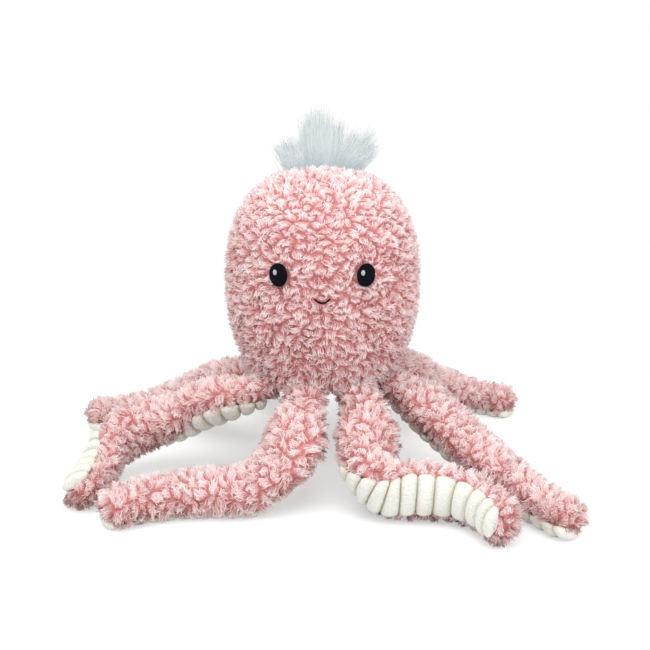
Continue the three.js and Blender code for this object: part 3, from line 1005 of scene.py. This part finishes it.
@dataclass
class Face:
    """Stitched eyes with their glints, and a stitched smile."""

    eye_half_width: float = 0.0062
    eye_half_height: float = 0.0078
    eye_across: float = 0.029
    eye_level: float = 0.153
    glint_half_width: float = 0.0013
    glint_half_height: float = 0.0018
    glint_across: float = 0.0022
    glint_above: float = 0.0020
    mouth_width: float = 0.0104
    mouth_depth: float = 0.0034
    mouth_stroke: float = 0.0013
    mouth_level: float = 0.1375
    mouth_clear: float = 0.0011
    mouth_reach: float = 0.0042
    eye_push: float = 0.0022
    mouth_push: float = 0.0020
    curve_allowance: float = 1.085
    eye_bare: float = 0.97
    mouth_bare: float = 1.06
    patch_fold: float = 0.75
    rim_start: float = 0.85
    eye_depths: tuple[float, float, float] = (0.0010, -0.0006, -0.0064)
    glint_depths: tuple[float, float, float] = (0.0015, 0.0010, 0.0002)

    @property
    def mouth_radius(self) -> float:
        """The radius of the smile's bow."""
        return (self.mouth_width**2 / 4 + self.mouth_depth**2) / (2 * self.mouth_depth)

    @property
    def mouth_middle(self) -> float:
        """The height of the middle of the smile's circle."""
        return self.mouth_level + self.mouth_radius - self.mouth_depth / 2

    @property
    def mouth_half_turn(self) -> float:
        """Half the angle that the smile spans."""
        return math.asin(min(self.mouth_width / 2 / self.mouth_radius, 1.0))

    def parting(self, local: Array) -> tuple[Array, Array]:
        """How the pile gives way to the stitches.

        Args:
            local: The strands' roots, from the head's axis.

        Returns:
            Which strands stay, and how far their tips are drawn aside.
        """
        keep = np.ones(len(local), dtype=bool)
        aside = np.zeros((len(local), 3))
        front = local[:, 1] < 0.0
        x, z = local[:, 0] * self.curve_allowance, local[:, 2]
        for side in Side:
            away_x = x - side.value * self.eye_across
            away_z = z - self.eye_level
            across, above = away_x / self.eye_half_width, away_z / self.eye_half_height
            ring = np.sqrt(across**2 + above**2)
            keep &= ~(front & (ring < self.eye_bare))
            near = front * clamp(2.0 - ring)
            way = unit(np.stack([away_x, np.zeros(len(local)), away_z], axis=1))
            aside += column(near * self.eye_push) * way
        turn = np.arctan2(x, self.mouth_middle - z)
        off = np.hypot(x, self.mouth_middle - z) - self.mouth_radius
        along = np.abs(turn) < self.mouth_half_turn * self.mouth_bare
        keep &= ~(front & along & (np.abs(off) < self.mouth_clear))
        fade = self.mouth_reach - self.mouth_clear
        near = front * along * clamp((self.mouth_reach - np.abs(off)) / fade)
        way = unit(np.stack([x, np.zeros(len(local)), z - self.mouth_middle], axis=1))
        aside += column(near * np.sign(off) * self.mouth_push) * way
        return keep, aside

    def patch(
        self, name: str, head: Head, middle: tuple[float, float], halves: tuple[float, float],
        depths: tuple[float, float, float],
    ) -> Object:
        """A crowned oval of stitches on the head.

        Args:
            name: The object's name.
            head: The head that it lies on.
            middle: Its middle, across and up.
            halves: Half its width and height.
            depths: Its rise above the head at its middle, at its rim and at its back.

        Returns:
            The object.
        """
        crown, rim, back = depths

        def place(u: Array, v: Array) -> Placed:
            """Points of the crown, the wall and the back.

            Args:
                u: Shares from pole to pole.
                v: Shares round the body.

            Returns:
                The points and their rise.
            """
            out = folded(u, self.patch_fold)
            around = FULL_TURN * v
            x = middle[0] + halves[0] * out * np.cos(around)
            z = middle[1] + halves[1] * out * np.sin(around)
            swell = rim + (crown - rim) * np.sqrt(clamp(1.0 - out**3))
            wall = back + (rim - back) * smooth_step(out, self.rim_start, 1.0)
            grow = np.where(u < self.patch_fold, swell, wall)
            return head.front(x, z, grow), out

        return wrapped(name, 24, 40, place)

    def smile(self, head: Head) -> Object:
        """The bowed line of the smile.

        Args:
            head: The head that it lies on.

        Returns:
            The object.
        """

        def place(u: Array, v: Array) -> Placed:
            """Points of a round cord that thins to its ends.

            Args:
                u: Shares from pole to pole.
                v: Shares round the body.

            Returns:
                The points and their rise.
            """
            turn = (2.0 * u - 1.0) * self.mouth_half_turn
            thick = 0.5 * self.mouth_stroke * clamp(1.0 - np.abs(2.0 * u - 1.0) ** 6) ** 0.5
            radius = self.mouth_radius + thick * np.cos(FULL_TURN * v)
            x = radius * np.sin(turn)
            z = self.mouth_middle - radius * np.cos(turn)
            return head.front(x, z, 0.0002 + thick * np.sin(FULL_TURN * v)), u

        return wrapped("mouth_stitches", 28, 10, place)

    def build(self, head: Head) -> None:
        """Builds the eyes, the glints and the smile on the head.

        Args:
            head: The head that they lie on.
        """
        for side in Side:
            word = side.name.lower()
            x = side.value * self.eye_across
            halves = (self.eye_half_width, self.eye_half_height)
            eye = self.patch(
                f"eye_stitches_{word}", head, (x, self.eye_level), halves, self.eye_depths
            )
            dress(eye, "head", BLACK_THREAD, (f"eye_{word}",))
            middle = (x - self.glint_across, self.eye_level + self.glint_above)
            halves = (self.glint_half_width, self.glint_half_height)
            glint = self.patch(f"glint_stitches_{word}", head, middle, halves, self.glint_depths)
            dress(glint, "head", WHITE_THREAD, (f"eye_glint_{word}",))
        dress(self.smile(head), "head", BLACK_THREAD, ("mouth_stitch",))


@dataclass(frozen=True)
class Lock:
    """One lock of hair: its place across the tuft, its leans in degrees and its length's share."""

    place: float
    lean: float
    back: float
    length: float


@dataclass
class Hair:
    """The tuft of long straight hair in the crown's seam."""

    width: float = 0.046
    depth: float = 0.008
    length: float = 0.042
    strands: int = 460
    thickness: float = 0.00024
    end_margin: float = 0.003
    scatter: float = 0.0026
    root_depth: float = 0.004
    lean_scatter: float = 5.0
    back_scatter: float = 7.0
    gather: float = 0.35
    knee: float = 0.6
    length_range: tuple[float, float, float] = (0.42, 0.64, 1.08)
    width_range: tuple[float, float] = (0.7, 1.3)
    bend_share: float = 0.5
    bend_lift: float = 0.25
    light_above: float = 0.04
    band_share: float = 0.34
    band_half_height: float = 0.003
    locks: tuple[Lock, ...] = (
        Lock(-0.92, -36, 4, 0.50),
        Lock(-0.78, -24, -6, 0.54),
        Lock(-0.58, -14, 6, 0.50),
        Lock(-0.40, -4, -4, 0.90),
        Lock(-0.24, -2, 3, 0.96),
        Lock(-0.06, 0, 5, 1.0),
        Lock(0.12, 3, -3, 0.94),
        Lock(0.32, 10, 5, 0.80),
        Lock(0.58, 26, -5, 0.72),
        Lock(0.76, 36, 4, 0.78),
        Lock(0.92, 46, -3, 0.62),
    )

    def build(self, head: Head) -> None:
        """Grows the tuft on the head and lays its band in the seam.

        Args:
            head: The head that it grows on.
        """
        rng = np.random.default_rng(HAIR_SEED)
        parts: list[tuple[Array, ...]] = []
        for lock in self.locks:
            count = self.strands
            across = lock.place * (self.width / 2 - self.end_margin)
            x = across + rng.normal(size=count) * self.scatter
            y = rng.uniform(-0.5, 0.5, count) * self.depth
            root = np.stack([x, y, head.crown_at(x) - self.root_depth], axis=1) + head.centre
            lean = np.radians(lock.lean + rng.normal(size=count) * self.lean_scatter)
            back = np.radians(lock.back + rng.normal(size=count) * self.back_scatter)
            way = unit(np.stack([np.sin(lean), np.sin(back), np.cos(lean) * np.cos(back)], axis=1))
            spread = rng.triangular(*self.length_range, count)
            tall = self.length * lock.length * spread + self.root_depth
            tip = root + column(tall) * way
            gathered = across + head.centre[0] + tall * math.sin(math.radians(lock.lean))
            tip[:, 0] += (gathered - tip[:, 0]) * self.gather
            lifted = unit(way + np.array([0.0, 0.0, self.bend_lift]))
            bend = root + column(tall * self.bend_share) * lifted
            tone = SHARED_TONE * rng.random() + (1.0 - SHARED_TONE) * rng.random(count)
            parts.append((root, bend, tip, clamp(tone)))
        roots, bends, tips, tones = (np.concatenate(part) for part in zip(*parts))
        total = len(roots)
        widths = self.thickness * rng.uniform(*self.width_range, total)
        rises = np.stack([np.zeros(total), np.ones(total)], axis=1)
        light = np.array([0.0, 0.0, head.equator + self.light_above])
        facing = unit(roots - head.centre - light)
        strand = Strand(knee=self.knee)
        tuft = strand.grown("tuft_strands", roots, bends, tips, widths, rises, tones, facing, rng)
        dress(tuft, "head", TUFT_HAIR, ("hair_tuft",))
        dress(self.band(head), "head", TUFT_GROUND, ("tuft_backing",))

    def band(self, head: Head) -> Object:
        """The cloth band that the hair is sewn on.

        Args:
            head: The head whose seam holds it.

        Returns:
            The object.
        """

        def place(u: Array, v: Array) -> Placed:
            """Points of a soft bar along the crown.

            Args:
                u: Shares from pole to pole.
                v: Shares round the body.

            Returns:
                The points and their rise.
            """
            x = (u - 0.5) * self.width
            round_off = np.sqrt(clamp(1.0 - np.abs(2.0 * u - 1.0) ** 8))
            y = self.band_share * self.depth * round_off * np.cos(FULL_TURN * v)
            high = self.band_half_height
            lift = -high + high * round_off * np.sin(FULL_TURN * v)
            return np.stack([x, y, head.crown_at(x) + lift], axis=1) + head.centre, round_off

        return wrapped("tuft_band", 30, 12, place)


@dataclass(frozen=True)
class ArmPose:
    """How one arm lies, in shares of its length and degrees.

    turns are headings from the root's, and rolls are turns about its own run. It comes down to the
    floor at land_share, on a bow, and its tip rises by tip_lift of its thickness.
    """

    turns: Rows
    rolls: Rows
    land_share: float
    bow: float
    tip_lift: float = 0.0


ARM_POSES: tuple[ArmPose, ...] = (
    ArmPose(
        ((0, 0), (0.2, -34), (0.45, -44), (0.7, 20), (1, 62)), ((0, 0), (1, 0)), 0.8, 1.15, 0.12,
    ),
    ArmPose(
        ((0, 0), (0.2, -41), (0.45, -35), (0.76, 44), (1, 56)),
        ((0, 0), (0.12, 26), (0.3, 26), (0.78, -128), (1, -145)), 0.86, 1.1,
    ),
    ArmPose(
        ((0, 0), (0.22, 5), (0.38, -57), (0.6, -75), (0.8, -60), (1, -38)),
        ((0, 0), (0.4, -8), (1, -16)), 0.5, 1.1,
    ),
    ArmPose(
        ((0, 0), (0.12, -22), (0.34, -38), (0.5, 58), (0.66, 56), (0.82, 14), (1, -22)),
        ((0, 0), (0.2, -4), (0.58, -94), (1, -104)), 0.5, 1.1,
    ),
    ArmPose(
        ((0, 0), (0.2, -31), (0.5, -36), (0.8, -42), (1, -46)),
        ((0, 0), (0.3, -6), (1, -24)), 0.9, 1.55,
    ),
    ArmPose(
        ((0, 0), (0.2, 34), (0.45, 44), (0.66, 0), (0.8, -38), (1, -74)),
        ((0, 0), (1, 0)), 0.86, 1.1,
    ),
    ArmPose(((0, 0), (0.35, 6), (0.7, -14), (1, -30)), ((0, 0), (1, 6)), 0.82, 1.15),
    ArmPose(((0, 0), (0.35, -22), (0.7, -16), (1, 4)), ((0, 0), (1, -8)), 0.82, 1.15),
)


@dataclass
class Arm:
    """One stuffed arm: skin, ribbed underside and pile."""

    number: int
    seam: Array
    heading: float
    pose: ArmPose
    length: float = 0.174
    root_width: float = 0.033
    full_width: float = 0.045
    tip_width: float = 0.033
    root_thickness: float = 0.026
    full_thickness: float = 0.033
    tip_thickness: float = 0.027
    root_share: float = 0.04
    swell_share: float = 0.24
    taper_share: float = 0.93
    taper_power: float = 1.4
    tip_rise_share: float = 0.75
    foot_flat: float = 0.0005
    steps: int = 78
    skin_depth: float = 0.0052
    panel_share: float = 0.62
    lip_bare: float = 0.10
    rib_pitch: float = 0.0110
    rib_rise: float = 0.0040
    rib_valley: float = 0.0022
    rib_start: float = 0.004
    rib_back: float = 0.0030
    rib_fade: float = 0.006
    rib_sink: float = 0.004
    rib_back_share: float = 0.28
    rib_roundness: float = 0.85
    rib_end_power: float = 3.2
    rib_reach: float = 1.08
    scallop: float = 0.20
    dome_crowding: float = 0.14
    around_scatter: float = 0.004
    lip_length: float = 0.72
    lip_reach: float = 0.6
    tip_length: float = 0.78
    closing_start: float = 0.26
    closing_end: float = 0.44
    pile: Pile = field(
        default_factory=lambda: Pile(
            length=0.0060, width=0.00044, density=0.70e6, curl_spacing=0.0078, curl_rise=0.0028,
            lean=0.70, nap=0.30, pull=0.12, stray=0.42,
        )
    )

    def __post_init__(self) -> None:
        """Lays the arm's route."""
        self.alongs = np.linspace(0.0, self.length, self.steps + 1)
        step = self.length / self.steps
        heights = self.height(self.alongs)
        spots = np.zeros((self.steps + 1, 3))
        spots[:, 2] = heights
        spots[0, :2] = self.seam[:2]
        middles = (self.alongs + step / 2) / self.length
        turns = self.heading + np.radians(read_off(self.pose.turns, middles))
        runs = np.sqrt(np.maximum(step**2 - np.diff(heights) ** 2, (step / 4) ** 2))
        spots[1:, 0] = self.seam[0] + np.cumsum(runs * np.cos(turns[:-1]))
        spots[1:, 1] = self.seam[1] + np.cumsum(runs * np.sin(turns[:-1]))
        index = np.arange(self.steps + 1)
        run = unit(spots[np.minimum(index + 3, self.steps)] - spots[np.maximum(index - 3, 0)])
        side = unit(np.cross(run, np.array([0.0, 0.0, 1.0])))
        top = np.cross(side, run)
        roll = column(np.radians(read_off(self.pose.rolls, self.alongs / self.length)))
        self.spots = spots
        self.runs = run
        self.sides = side * np.cos(roll) - top * np.sin(roll)
        self.tops = top * np.cos(roll) + side * np.sin(roll)

    def half(self, along: Array, root: float, full: float, tip: float) -> Array:
        """Half a size along the arm, from its values at the root, the swelling and the tip.

        Args:
            along: Distances along the arm.
            root: The size at the root.
            full: The size at the swelling.
            tip: The size at the tip.

        Returns:
            Half the size at each distance.
        """
        share = clamp(along / self.length)
        swell = root + (full - root) * smooth_step(share, self.root_share, self.swell_share)
        on = clamp((share - self.swell_share) / (self.taper_share - self.swell_share))
        taper = full + (tip - full) * on**self.taper_power
        return np.where(share < self.swell_share, swell, taper) / 2

    def half_width(self, along: Array) -> Array:
        """Half the arm's width."""
        return self.half(along, self.root_width, self.full_width, self.tip_width)

    def half_thickness(self, along: Array) -> Array:
        """Half the arm's thickness."""
        return self.half(along, self.root_thickness, self.full_thickness, self.tip_thickness)

    def height(self, along: Array) -> Array:
        """Height of the arm's middle line.

        Args:
            along: Distances along the arm.

        Returns:
            The heights.
        """
        share = along / self.length
        roll = np.radians(read_off(self.pose.rolls, share))
        wide, thick = self.half_width(along), self.half_thickness(along)
        below = np.hypot(wide * np.sin(roll), thick * np.cos(roll))
        fall = clamp(1.0 - share / self.pose.land_share) ** self.pose.bow
        rise = clamp((share - self.tip_rise_share) / (1.0 - self.tip_rise_share)) ** 2
        lift = self.pose.tip_lift * self.full_thickness * rise
        drop = self.seam[2] - self.root_thickness / 2 + self.foot_flat
        return below - self.foot_flat + drop * fall + lift

    def domed(self, along: Array) -> tuple[Array, ...]:
        """The arm's size along its length, with the domes that close its ends.

        Args:
            along: Distances along it, past its ends too.

        Returns:
            The distances kept on the arm, half the width, half the thickness, how deep in a dome
            each place lies, from -1 to 1, and the share of the girth that is left there.
        """
        inside = np.clip(along, 0.0, self.length)
        wide, thick = self.half_width(inside), self.half_thickness(inside)
        cap = np.clip((along - inside) / thick, -1.0, 1.0)
        return inside, wide, thick, cap, np.sqrt(1.0 - cap**2)

    def surface(self, along: Array, angle: Array, grow: Array) -> tuple[Array, ...]:
        """Points on the arm, which ends in round domes.

        Args:
            along: Distances along it, past its ends too.
            angle: Angles round it from its right side, in radians.
            grow: How far out from its surface.

        Returns:
            The points, the outward normals and the directions towards the tip.
        """
        inside, wide, thick, cap, scale = self.domed(along)
        parts = [
            np.stack([np.interp(inside, self.alongs, table[:, axis]) for axis in range(3)], axis=-1)
            for table in (self.spots, self.runs, self.sides, self.tops)
        ]
        middle, run, side, top = parts[0], unit(parts[1]), unit(parts[2]), unit(parts[3])
        across, over = np.cos(angle), np.sin(angle)
        ring = side * column(across * (wide + grow) * scale)
        ring = ring + top * column(over * (thick + grow) * scale)
        points = middle + ring + run * column(cap * (thick + grow))
        outward = unit(side * column(across / wide) + top * column(over / thick))
        return points, unit(outward * column(scale) + run * column(cap)), run

    @property
    def lip(self) -> float:
        """The angle below level at which the pile meets the underside."""
        return math.acos(self.panel_share)

    def skin(self, curls: Curls) -> Object:
        """The closed skin of the arm, lifted into curls.

        Args:
            curls: The lumps that lift it.

        Returns:
            The object.
        """
        start, end = -self.root_thickness / 2, self.length + self.tip_thickness / 2

        def place(u: Array, v: Array) -> Placed:
            """Points from dome to dome.

            Args:
                u: Shares from pole to pole.
                v: Shares round the body.

            Returns:
                The points and their rise.
            """
            even = 0.5 - 0.5 * np.cos(math.pi * u)
            shares = (1.0 - self.dome_crowding) * u + self.dome_crowding * even
            along = start + (end - start) * shares
            along = np.where(u < 1e-6, start, np.where(u > 1.0 - 1e-6, end, along))
            points, _, _ = self.surface(along, FULL_TURN * v, np.full(len(u), -self.skin_depth))
            points[:, 2] = np.maximum(points[:, 2], FLOOR_CLEARANCE)
            return points, np.ones(len(u))

        return wrapped(f"arm_{self.number}_skin", 150, 84, place, curls)

    def rib_panel(self) -> Object:
        """The plump ribs of the underside, with scalloped ends.

        Returns:
            The object.
        """
        start, end = self.rib_start, self.length + 0.43 * self.tip_thickness
        back_share = self.rib_back_share
        table = np.linspace(start, end, 400)
        line, _, _ = self.surface(table, np.full(400, 1.5 * math.pi), np.zeros(400))
        steps = np.linalg.norm(np.diff(line, axis=0), axis=1)
        way = np.concatenate([[0.0], np.cumsum(steps)])
        ribs = round(way[-1] / self.rib_pitch)

        def place(u: Array, v: Array) -> Placed:
            """Points over the lobes and back along the skin.

            Args:
                u: Shares from pole to pole.
                v: Shares round the body.

            Returns:
                The points and their rise.
            """
            along = np.interp(u * way[-1], way, table)
            lobe = 2.0 * ((u * ribs) % 1.0) - 1.0
            pillow = np.sqrt(clamp(1.0 - lobe**2)) ** self.rib_roundness
            edge_out = np.minimum(u, 1.0 - u) * way[-1]
            fade = np.sqrt(clamp(edge_out / self.rib_fade))
            outer = v <= 1.0 - back_share
            place_out = 2.0 * v / (1.0 - back_share) - 1.0
            place_back = 1.0 - 2.0 * (v - (1.0 - back_share)) / back_share
            across = np.where(outer, place_out, place_back)
            round_off = np.sqrt(clamp(1.0 - np.abs(across) ** self.rib_end_power))
            half = (math.pi / 2 - self.lip) * (self.rib_reach + self.scallop * pillow) * fade
            crest = -self.rib_valley + self.rib_rise * pillow * round_off
            back = -self.rib_valley - self.rib_back * round_off
            grow = np.where(outer, crest, back) * fade - self.rib_sink * (1.0 - fade)
            points, _, _ = self.surface(along, 1.5 * math.pi + across * half, grow)
            points[:, 2] = np.maximum(points[:, 2], FLOOR_CLEARANCE)
            # The rise colours the valleys between the ribs, their ends and the panel's back deeper:
            # painted shade.
            return points, np.where(outer, pillow * (0.4 + 0.6 * round_off), 0.0)

        return wrapped(f"arm_{self.number}_ribs", ribs * 10, 28, place)

    def ground(self, count: int, rng: Rng) -> tuple[Ground, float]:
        """Places spread evenly over the pile's part of the skin.

        Args:
            count: How many, or 0 to learn the area alone.
            rng: Where their jitter comes from.

        Returns:
            The places, and the area that they cover.
        """
        start, end = -0.3 * self.root_thickness, self.length + 0.98 * self.tip_thickness / 2
        table = np.linspace(start, end, 240)
        _, wide, thick, _, scale = self.domed(table)
        share = (math.pi + 2 * self.lip) / FULL_TURN
        girth = FULL_TURN * np.sqrt((wide**2 + thick**2) / 2) * scale * share
        stretch = 1.0 / np.maximum(scale, 0.2)
        bands = girth * stretch * (table[1] - table[0])
        area = np.concatenate([[0.0], np.cumsum(bands[1:])])
        index = np.arange(count)
        at = (index + rng.uniform(0.0, 1.0, count)) / max(count, 1) * area[-1]
        along = np.interp(at, area, table)
        lip = self.lip - self.lip_bare
        angles = np.linspace(-lip, math.pi + lip, 181)
        pace = np.hypot(self.full_width * np.sin(angles), self.full_thickness * np.cos(angles))
        round_way = np.concatenate([[0.0], np.cumsum(0.5 * (pace[1:] + pace[:-1]))])
        spread = ((index * GOLDEN) % 1.0 + rng.normal(size=count) * self.around_scatter) % 1.0
        angle = np.interp(spread * round_way[-1], round_way, angles)
        from_lip = np.minimum(angle + lip, math.pi + lip - angle)
        past_tip = (along - self.length) / self.tip_thickness
        closing = smooth_step(past_tip, self.closing_start, self.closing_end)
        widening = 1.0 + closing * (math.pi / (math.pi / 2 + lip) - 1.0)
        angle = math.pi / 2 + (angle - math.pi / 2) * widening
        points, normals, runs = self.surface(along, angle, np.full(count, -self.skin_depth))
        grown = smooth_step(from_lip, 0.0, self.lip_reach)
        lengths = self.lip_length + (1.0 - self.lip_length) * grown
        lengths = lengths + (self.tip_length - lengths) * closing
        return Ground(points, normals, runs, lengths), float(area[-1])

    def build(self) -> None:
        """Builds the arm."""
        body = f"arm_{self.number}"
        rng = np.random.default_rng(ARM_SEED + self.number)
        area = self.ground(0, rng)[1]
        curls = self.pile.curls(self.ground(self.pile.curl_count(area), rng)[0], rng)
        dress(self.skin(curls), body, PILE_GROUND, (f"{body}_stuffing",))
        dress(self.rib_panel(), body, RIB_VELOUR, (f"{body}_underside",))
        ground, _ = self.ground(self.pile.count(area), rng)
        pile = self.pile.grown(f"{body}_fur", ground, curls, rng)
        dress(pile, body, ARM_PILE, (f"{body}_pile",))


@dataclass
class Studio:
    """Pale sweep, soft lights and the camera."""

    centre: Array
    target: tuple[float, float, float] = (0.0018, 0.0, 0.1035)
    elevation: float = 14.0
    distance: float = 0.775
    focal_pixels: float = 1066.0
    image_width: float = 650.0
    sensor: float = 36.0
    sweep_half_width: float = 3.0
    sweep_front: float = -3.0
    sweep_back: float = 1.6
    sweep_height: float = 2.4
    sweep_bend: float = 0.8
    fade_start: float = 0.16
    fade_end: float = 0.40
    fade_least: float = 0.45
    world_level: float = 1.0
    key_power: float = 10.0
    fill_power: float = 3.0

    def aim(self) -> Vector:
        """The point that the camera looks at."""
        return Vector(self.target) + Vector(self.centre)

    def camera(self) -> None:
        """Sets the camera at the photograph's angle."""
        data = bpy.data.cameras.new("view")
        data.sensor_width = self.sensor
        data.lens = self.sensor * self.focal_pixels / self.image_width
        data.clip_start = 0.01
        eye = linked("view", data)
        tilt = math.radians(self.elevation)
        back = Vector((0.0, -math.cos(tilt), math.sin(tilt)))
        eye.location = self.aim() + back * self.distance
        eye.rotation_euler = (-back).to_track_quat("-Z", "Y").to_euler()
        bpy.context.scene.camera = eye

    def lamp(self, name: str, place: Vector, size: float, power: float) -> None:
        """A soft square lamp that looks at the object.

        Args:
            name: Its name.
            place: Where it hangs.
            size: Its side.
            power: Its watts.
        """
        data = bpy.data.lights.new(name, "AREA")
        data.size = size
        data.energy = power
        lamp = linked(name, data)
        lamp.location = place
        lamp.rotation_euler = (self.aim() - place).to_track_quat("-Z", "Y").to_euler()

    def world(self) -> None:
        """White where it is seen, and an even soft light elsewhere."""
        world = bpy.data.worlds.new("soft_room")
        bpy.context.scene.world = world
        sheet = NodeSheet(world, "ShaderNodeOutputWorld")
        light, white = (
            sheet.node("ShaderNodeBackground", {"Color": WHITE, "Strength": level})
            for level in (self.world_level, 1.0)
        )
        shaders = light.outputs["Background"], white.outputs["Background"]
        sheet.show(sheet.mixed(sheet.backdrop_share(), *shaders))

    def sweep(self) -> None:
        """A floor that turns up behind the object. It keeps the shadow near the object only."""
        body = bmesh.new()
        sides = (-self.sweep_half_width, self.sweep_half_width)
        low = [body.verts.new((x, self.sweep_front, 0.0)) for x in sides]
        edge = body.edges.new(low)
        floor = bmesh.ops.extrude_edge_only(body, edges=[edge])["geom"]
        far = [item for item in floor if isinstance(item, bmesh.types.BMVert)]
        bmesh.ops.translate(body, verts=far, vec=(0.0, self.sweep_back - self.sweep_front, 0.0))
        far_edge = [item for item in floor if isinstance(item, bmesh.types.BMEdge)]
        wall = bmesh.ops.extrude_edge_only(body, edges=far_edge)["geom"]
        high = [item for item in wall if isinstance(item, bmesh.types.BMVert)]
        bmesh.ops.translate(body, verts=high, vec=(0.0, 0.0, self.sweep_height))
        bmesh.ops.bevel(
            body, geom=far_edge, offset=self.sweep_bend, segments=16, profile=0.5, affect="EDGES",
            material=-1,
        )
        bmesh.ops.recalc_face_normals(body, faces=body.faces)
        sweep = finished("sweep", body)
        sweep.data.materials.append(self.sweep_material())

    def sweep_material(self) -> bpy.types.Material:
        """Matt white that fades to plain white away from the object.

        Returns:
            The material.
        """
        sheet = NodeSheet.of_material("sweep_paper")
        stops = ((0.2, (0.86, 0.86, 0.86)), (0.8, (0.89, 0.89, 0.89)))
        grain = sheet.ramp(sheet.noise(400.0), stops)
        inputs = {"Roughness": 1.0, "Specular IOR Level": 0.0, "Base Color": grain}
        paper = sheet.node("ShaderNodeBsdfPrincipled", inputs)
        plain = sheet.node("ShaderNodeEmission", {"Color": WHITE})
        reach = sheet.node("ShaderNodeVectorMath", {0: sheet.place()}, operation="LENGTH")
        inputs = {
            "Value": reach.outputs["Value"], "From Min": self.fade_start, "From Max": self.fade_end,
            "To Min": self.fade_least,
        }
        fade = sheet.node("ShaderNodeMapRange", inputs, interpolation_type="SMOOTHSTEP")
        share = sheet.math("MULTIPLY", fade.outputs["Result"], sheet.backdrop_share())
        sheet.show(sheet.mixed(share, paper.outputs["BSDF"], plain.outputs["Emission"]))
        return sheet.owner

    def build(self) -> None:
        """Sets up everything round the object."""
        bpy.context.scene.view_settings.view_transform = "Standard"
        self.camera()
        self.world()
        self.sweep()
        self.lamp("key", self.aim() + Vector((-0.15, -0.35, 1.0)), 0.9, self.key_power)
        self.lamp("fill", self.aim() + Vector((0.8, -0.6, 0.45)), 0.9, self.fill_power)


def arms_of(record: dict) -> list[Arm]:
    """The arms, each on the seam that the record's joint gives.

    Args:
        record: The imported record.

    Returns:
        The arms in order.
    """
    joints = {joint["child"]: joint for joint in record["behaviour"]["joints"]}
    arms = []
    for number, pose in enumerate(ARM_POSES, start=1):
        joint = joints[f"arm_{number}"]
        heading = math.atan2(joint["axis"][0], -joint["axis"][1])
        arms.append(Arm(number, np.array(joint["pos_m"]), heading, pose))
    return arms


def main() -> None:
    """Builds the octopus and its studio."""
    logging.basicConfig(level=logging.INFO, format="%(name)s: %(message)s")
    noise.seed_set(NOISE_SEED)
    arms = arms_of(frame["record"])
    centre = np.mean([arm.seam for arm in arms], axis=0) * np.array([1.0, 1.0, 0.0])
    head = Head(centre)
    face = Face()
    head.build(face)
    face.build(head)
    Hair().build(head)
    for arm in arms:
        arm.build()
    Studio(centre).build()


if __name__ == "__main__":
    main()
